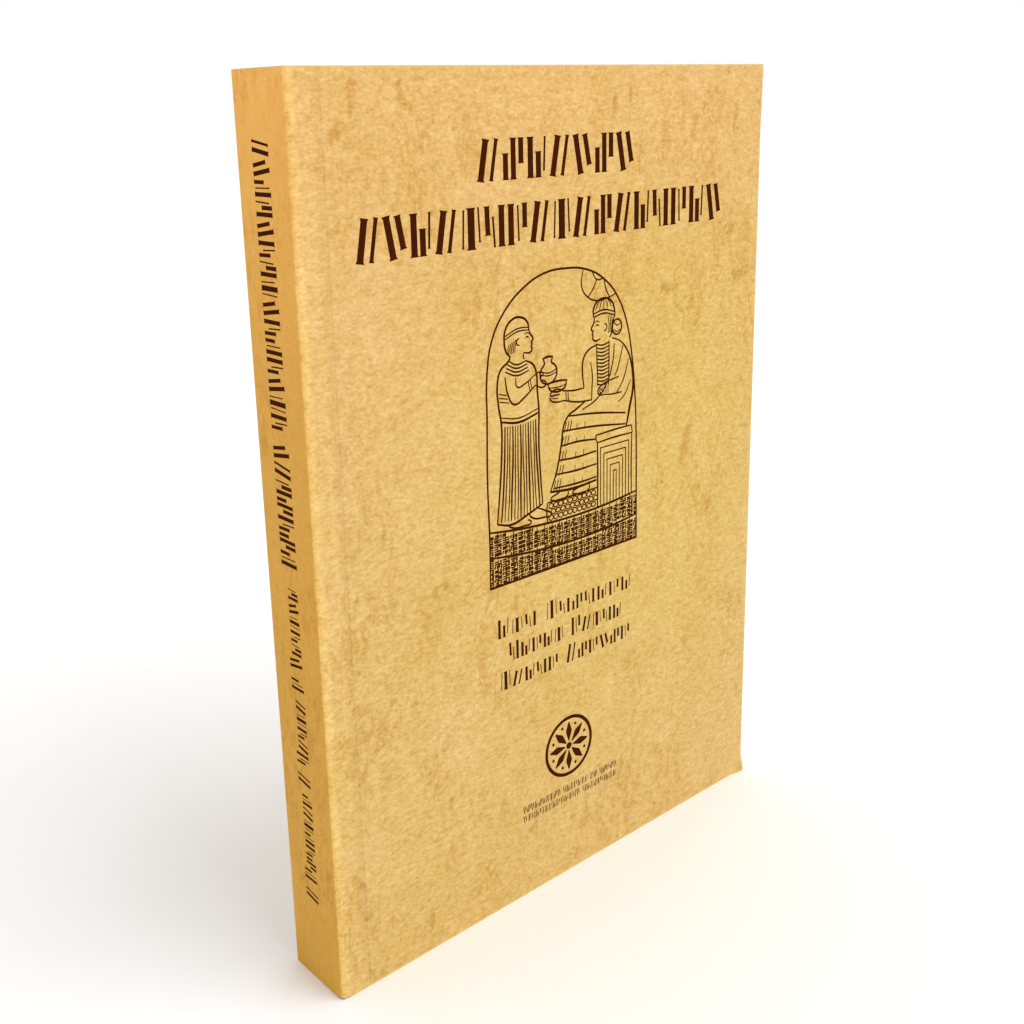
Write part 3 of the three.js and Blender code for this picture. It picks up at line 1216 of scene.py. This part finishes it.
def draw_seated(pen):
    """A robed figure that sits on the right and holds out a bowl."""
    pen.line(
        (11.5, 70.0), (11.2, 68.6), (10.2, 66.8), (10.9, 66.3), (10.6, 65.7), (10.9, 65.0),
        (10.8, 64.2), (11.8, 63.4), (13.9, 63.8),
        width=0.4,
    )
    pen.line((12.0, 67.6), (12.6, 67.9), (13.3, 67.6), width=0.32)
    pen.line((11.7, 68.7), (12.5, 69.0), (13.5, 68.6), width=0.26)
    pen.line((15.4, 67.9), (16.4, 67.5), (16.2, 66.1), (15.3, 65.8), width=0.3)
    pen.line(
        (11.2, 70.2), (11.0, 72.2), (12.4, 74.4), (15.4, 75.2), (18.2, 74.2), (19.6, 71.6),
        (19.8, 69.8),
        width=0.45,
    )
    pen.line((11.2, 70.2), (15.4, 70.9), (19.8, 69.8), width=0.36)
    pen.line((11.1, 71.2), (15.4, 71.9), (19.7, 70.8), width=0.36)
    for seam in range(5):
        pen.line(
            (11.9 + 1.6 * seam, 72.0 + 0.1 * seam),
            (12.7 + 1.3 * seam, 73.6),
            (13.6 + 0.8 * seam, 74.6),
            width=0.26,
        )
    pen.ring(20.7, 66.3, 1.9, 2.2, width=0.4)
    pen.line((19.5, 67.6), (20.8, 66.7), (22.2, 67.2), width=0.28)
    pen.line((19.4, 65.6), (20.7, 64.9), (22.0, 65.4), width=0.28)
    pen.line((19.8, 69.8), (19.0, 68.0), (18.6, 65.0), (17.6, 63.6), width=0.4)
    for lock in range(3):
        pen.line(
            (16.9 + 0.8 * lock, 70.2), (17.4 + 0.6 * lock, 67.6), (17.2 + 0.5 * lock, 65.0),
            width=0.26,
        )
    pen.line((12.3, 62.6), (12.5, 56.6), (12.8, 50.2), width=0.36)
    pen.line((17.4, 62.8), (17.4, 56.6), (17.2, 49.8), width=0.36)
    for stripe in range(12):
        height = 62.3 - 1.05 * stripe
        pen.line((12.4, height), (14.8, height - 0.5), (17.3, height), width=0.36)
    for tassel in range(6):
        pen.line((12.9 + 0.82 * tassel, 49.6), (12.8 + 0.84 * tassel, 47.6), width=0.28)
    pen.line((12.2, 62.2), (9.0, 61.2), (7.0, 59.0), (6.6, 55.0), (7.2, 50.6), width=0.42)
    pen.line((9.9, 57.6), (10.6, 53.4), (10.4, 50.0), (10.2, 46.4), width=0.34)
    pen.line((7.2, 50.6), (3.2, 50.6), (-1.0, 51.2), width=0.4)
    pen.line((10.4, 46.6), (4.6, 47.0), (-0.8, 48.4), width=0.4)
    pen.line((0.2, 48.2), (0.0, 51.1), width=0.34)
    pen.line((1.0, 48.0), (0.8, 51.0), width=0.34)
    pen.line(
        (-1.0, 51.2), (-2.8, 52.0), (-5.4, 51.6), (-6.0, 50.8), (-4.0, 50.5), (-2.4, 50.4),
        width=0.36,
    )
    pen.line((-6.2, 50.4), (-6.0, 49.4), (-3.4, 48.4), (-0.8, 48.4), width=0.36)
    pen.line((-5.8, 49.8), (-3.0, 49.4), width=0.26)
    pen.line(
        (-6.8, 54.0), (-6.2, 52.4), (-4.4, 51.5), (-1.8, 51.5), (-0.2, 52.4), (0.3, 54.0),
        width=0.42,
    )
    pen.line((-7.1, 54.1), (-3.3, 54.4), (0.6, 54.1), width=0.46)
    pen.line((-6.4, 52.9), (-3.3, 52.6), (0.0, 52.9), width=0.26)
    pen.stroke(
        [
            (18.6, 63.4, 0.4), (22.0, 62.0, 0.45), (25.2, 58.6, 0.6), (27.2, 53.0, 0.8),
            (27.6, 47.4, 0.9), (26.2, 41.6, 1.0), (24.8, 36.2, 0.7),
        ]
    )
    pen.line((19.6, 61.6), (19.0, 56.6), (16.6, 50.6), (12.2, 46.4), (6.4, 44.4), width=0.36)
    pen.line((23.2, 60.6), (21.0, 54.0), (19.8, 52.0), width=0.34)
    pen.line((25.6, 56.2), (23.4, 50.4), (20.4, 46.6), width=0.34)
    pen.line((26.6, 49.8), (23.6, 45.4), (21.2, 44.0), width=0.3)
    pen.line((21.6, 51.6), (18.4, 51.2), (16.6, 50.9), width=0.36)
    pen.line((22.8, 46.8), (19.2, 46.8), (15.8, 47.2), width=0.36)
    pen.line((16.6, 50.9), (14.4, 50.2), (12.8, 48.8), (13.4, 47.6), (15.8, 47.2), width=0.36)
    pen.line((14.8, 49.4), (13.2, 48.6), width=0.26)
    pen.line((15.2, 48.5), (13.6, 47.9), width=0.26)
    pen.line(
        (7.6, 46.6), (4.0, 45.0), (0.8, 43.6), (-0.8, 41.4), (-2.0, 35.6), (-3.8, 28.6),
        (-6.4, 22.8),
        width=0.45,
    )
    tiers = ((43.6, 40.2, 0.8, 24.4), (39.6, 36.8, -1.2, 24.4), (35.4, 34.6, -2.2, 12.2))
    for front, behind, left, right in tiers:
        middle = (left + right) / 2
        pen.line((left, front), (middle, (front + behind) / 2 + 0.4), (right, behind), width=0.45)
    for tier in range(3):
        height = 31.4 - 3.9 * tier
        pen.line((-3.0 - 1.1 * tier, height), (4.0, height - 0.5), (12.2, height - 0.3), width=0.45)
    pen.line((-6.4, 22.8), (2.6, 21.9), (12.2, 22.3), width=0.6)
    for tier in range(5):
        height = 42.0 - 4.05 * tier
        for crease in range(3):
            across = -0.4 - 1.1 * tier + 1.1 * crease
            pen.line((across + 0.5, height), (across - 0.4, height - 3.0), width=0.32)
        for crease in range(2):
            across = 4.4 + 3.2 * crease - 0.3 * tier
            pen.line((across, height - 1.2), (across - 0.2, height - 2.8), width=0.24)
    for foot in (0.0, 8.6):
        pen.line(
            (0.6 + foot, 21.9), (0.4 + foot, 20.3), (-5.4 + foot, 20.1), (-6.2 + foot, 20.6),
            (-3.8 + foot, 21.7), (-2.4 + foot, 22.2),
            width=0.38,
        )


def draw_seat(pen):
    """A block seat with nested frames, and a footrest of small scales."""
    pen.line((11.8, 35.7), (19.6, 36.0), (27.0, 36.0), width=0.4)
    pen.line((12.4, 33.4), (19.6, 33.7), (27.4, 33.6), width=0.4)
    pen.line((11.8, 35.7), (12.4, 33.4), width=0.4)
    pen.line((27.0, 36.0), (27.4, 33.6), width=0.4)
    pen.line((12.6, 33.4), (12.7, 24.0), (12.6, 14.0), width=0.5)
    pen.line((27.2, 33.6), (27.0, 24.0), (27.2, 14.6), width=0.4)
    for nested in range(5):
        inset = 1.35 * nested
        top = 31.6 - 2.0 * nested
        left, right = 13.9 + inset, 25.9 - inset
        pen.line((left, 14.2), (left, top), width=0.36)
        pen.line((right, 14.4), (right, top), width=0.36)
        pen.line((left - 0.15, top), (right + 0.15, top), width=0.36)
    pen.line((-7.6, 19.9), (2.0, 19.8), (12.4, 19.9), width=0.42)
    pen.line((-7.6, 19.9), (-7.9, 17.0), (-7.6, 14.2), width=0.42)
    for layer in range(3):
        for scale in range(10):
            across = -6.2 + 1.9 * scale + 0.9 * (layer % 2)
            if across < 12.0:
                pen.ring(across, 18.7 - 1.75 * layer, 0.85, 0.72, width=0.28, knots=6)


def ground(across, height):
    """The picture's ground line, which sags a little in the middle."""
    share = across / PICTURE_HALF
    return height + 2.2 * share**2 - 0.7 * share


def draw_band(pen):
    """The dense band under the figures: two registers of close small strokes."""
    left, right = 0.1 - PICTURE_HALF, PICTURE_HALF - 0.1
    top, divide = 13.6, 6.2
    columns = 40
    pitch = (right - left) / columns
    for height in (top, divide):
        places = [left + (right - left) * i / 8 for i in range(9)]
        pen.line(*((x, ground(x, height)) for x in places), width=0.5)
    pen.line((left, 0.15), (0, 0.15), (right, 0.15), width=0.55)
    draw = random.Random(21)
    for column in range(columns):
        middle = left + pitch * (column + 0.5)
        if column and column % 2 == 0:
            edge = left + pitch * column
            pen.line((edge, 0.2), (edge, ground(edge, top - 0.2)), width=0.3)
        low = 0.9
        while low < ground(middle, top) - 0.9:
            if abs(low - ground(middle, divide)) > 0.5:
                small_cluster(pen, draw, middle, low, pitch * 0.8)
            low += 1.25


def small_cluster(pen, draw, x, y, size):
    """Two or three close strokes, no cluster like the next."""
    reach = size / 2
    kind = draw.randrange(4)
    lean = draw.uniform(-0.12, 0.12)
    if kind == 0:
        for side in (-0.55, 0.1, 0.75):
            pen.stroke([(x + side * reach, y - 0.5, 0.48), (x + side * reach + lean, y + 0.5, 0.4)])
    elif kind == 1:
        for side in (-0.32, 0.32):
            pen.stroke([(x - reach, y + side + lean, 0.42), (x + reach, y + side, 0.5)])
    elif kind == 2:
        pen.stroke([(x - reach, y + 0.2, 1.1), (x - 0.05, y + lean, 0.85)])
        pen.stroke([(x + 0.45, y - 0.55, 0.5), (x + 0.5, y + 0.55, 0.6)])
    else:
        pen.stroke([(x - reach, y - 0.35, 0.55), (x + reach, y - 0.35 + lean, 0.55)])
        pen.stroke([(x - reach * 0.3, y + 0.3, 0.65), (x + reach, y + 0.35, 0.65)])


class PAPERBACK_OT_front_picture(bpy.types.Operator):
    """A line drawing under an arch: one figure stands, one sits, over a dense band"""

    bl_idname = "paperback.front_picture"
    bl_label = "Picture"

    def execute(self, context):
        pen = Pen("front_picture", origin=(85.1, down(138.3)))
        draw_arch(pen)
        draw_standing(pen)
        draw_seated(pen)
        draw_seat(pen)
        draw_band(pen)
        print_front(pen, context.scene.paperback_print)
        return {"FINISHED"}


class PAPERBACK_OT_spine_print(bpy.types.Operator):
    """Rows of marks along the spine, from the tail up"""

    bl_idname = "paperback.spine_print"
    bl_label = "Spine rows"

    def execute(self, context):
        ink = context.scene.paperback_print
        pen = Pen("spine_rows")
        title, names = (7, 15), (1, 7, 1, 5, 1, 6)
        pen.row(down(119.3), down(14.7), 8.3, height=7.1, stem=1.12, words=title, seed=14)
        pen.row(
            down(215.0), down(124.5), 9.0, height=5.6, stem=0.85, words=names, seed=15, small=0.78
        )
        piece = pen.ink((SPINE_X, FRONT_Y, TAIL_Z), (0, 0, 1), (0, 1, 0), ink.relief)
        paint(piece, shared("brown_ink", ink_finish, ink))
        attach(piece, "book")
        return {"FINISHED"}


# ---------------------------------------------------------------------------------------
# Stage
# ---------------------------------------------------------------------------------------


class PAPERBACK_OT_stage(bpy.types.Operator):
    """Floor, soft light and camera"""

    bl_idname = "paperback.stage"
    bl_label = "Stage"

    def execute(self, context):
        stage = context.scene.paperback_stage
        self.camera(context, stage)
        self.floor()
        self.lights()
        self.world(context)
        context.scene.view_settings.view_transform = "Standard"
        return {"FINISHED"}

    def camera(self, context, stage):
        azimuth, elevation = stage.azimuth, stage.elevation
        back = Vector(
            (
                math.sin(azimuth) * math.cos(elevation),
                -math.cos(azimuth) * math.cos(elevation),
                math.sin(elevation),
            )
        )
        turn = (-back).to_track_quat("-Z", "Y").to_matrix()
        turn = turn @ Matrix.Rotation(stage.roll, 3, "Z")
        deselect()
        bpy.ops.object.camera_add(location=stage.place, rotation=turn.to_euler())
        camera = bpy.context.object
        camera.data.sensor_width = 36
        camera.data.lens = stage.lens
        camera.data.shift_x, camera.data.shift_y = stage.shift
        camera.data.clip_start = 0.01
        context.scene.camera = camera

    def floor(self):
        deselect()
        bpy.ops.mesh.primitive_plane_add(size=200, location=(0, 0, TAIL_Z))
        floor = settle(bpy.context.object, "floor")
        finish = Finish("pale_floor", Roughness=0.9, Base_Color=(0.95, 0.95, 0.95, 1))
        paint(floor, finish.material)

    def lights(self):
        lamps = (
            ("key", (0.55, -1.0, 1.3), 50, 1.55),
            ("top", (0.15, 0.2, 1.5), 60, 1.2),
        )
        for name, place, width, power in lamps:
            aim = (-Vector(place)).to_track_quat("-Z", "Y").to_euler()
            deselect()
            bpy.ops.object.light_add(type="SUN", location=place, rotation=aim)
            lamp = bpy.context.object
            lamp.name = name
            lamp.data.angle = math.radians(width)
            lamp.data.energy = power

    def world(self, context):
        """White all round to look at, and a softer white to light by."""
        world = bpy.data.worlds.new("studio")
        context.scene.world = world
        world.use_nodes = True
        tree = world.node_tree
        sky = tree.nodes["Background"]
        path = tree.nodes.new("ShaderNodeLightPath")
        level = tree.nodes.new("ShaderNodeMapRange")
        light_by, look_at = 0.4, 1.0
        level.inputs["To Min"].default_value = light_by
        level.inputs["To Max"].default_value = look_at
        tree.links.new(path.outputs["Is Camera Ray"], level.inputs["Value"])
        sky.inputs["Color"].default_value = (1, 1, 1, 1)
        tree.links.new(level.outputs["Result"], sky.inputs["Strength"])


# ---------------------------------------------------------------------------------------
# Panel and registration
# ---------------------------------------------------------------------------------------

OPERATORS = (
    PAPERBACK_OT_front_card,
    PAPERBACK_OT_back_card,
    PAPERBACK_OT_leaves,
    PAPERBACK_OT_glue,
    PAPERBACK_OT_front_titles,
    PAPERBACK_OT_front_picture,
    PAPERBACK_OT_front_names,
    PAPERBACK_OT_front_ornament,
    PAPERBACK_OT_spine_print,
    PAPERBACK_OT_stage,
)
GROUPS = {
    "paperback_card": CardSettings,
    "paperback_leaf": LeafSettings,
    "paperback_print": PrintSettings,
    "paperback_stage": StageSettings,
}


class PAPERBACK_PT_build(bpy.types.Panel):
    """Lists the book's pieces and their settings"""

    bl_idname = "PAPERBACK_PT_build"
    bl_label = "Paperback"
    bl_space_type = "VIEW_3D"
    bl_region_type = "UI"
    bl_category = "Paperback"

    def draw(self, context):
        for operator in OPERATORS:
            self.layout.operator(operator.bl_idname)
        for group in GROUPS:
            box = self.layout.box()
            settings = getattr(context.scene, group)
            for name in settings.__annotations__:
                box.prop(settings, name)


def register():
    for cls in (*GROUPS.values(), *OPERATORS, PAPERBACK_PT_build):
        bpy.utils.register_class(cls)
    for name, cls in GROUPS.items():
        setattr(bpy.types.Scene, name, PointerProperty(type=cls))


def unregister():
    for name in GROUPS:
        delattr(bpy.types.Scene, name)
    for cls in reversed((*GROUPS.values(), *OPERATORS, PAPERBACK_PT_build)):
        bpy.utils.unregister_class(cls)


def main():
    """Builds the book and its stage."""
    register()
    bpy.ops.paperback.stage()
    bpy.ops.paperback.front_card()
    bpy.ops.paperback.back_card()
    bpy.ops.paperback.leaves()
    bpy.ops.paperback.glue()
    bpy.ops.paperback.front_titles()
    bpy.ops.paperback.front_picture()
    bpy.ops.paperback.front_names()
    bpy.ops.paperback.front_ornament()
    bpy.ops.paperback.spine_print()


if __name__ == "__main__":
    main()
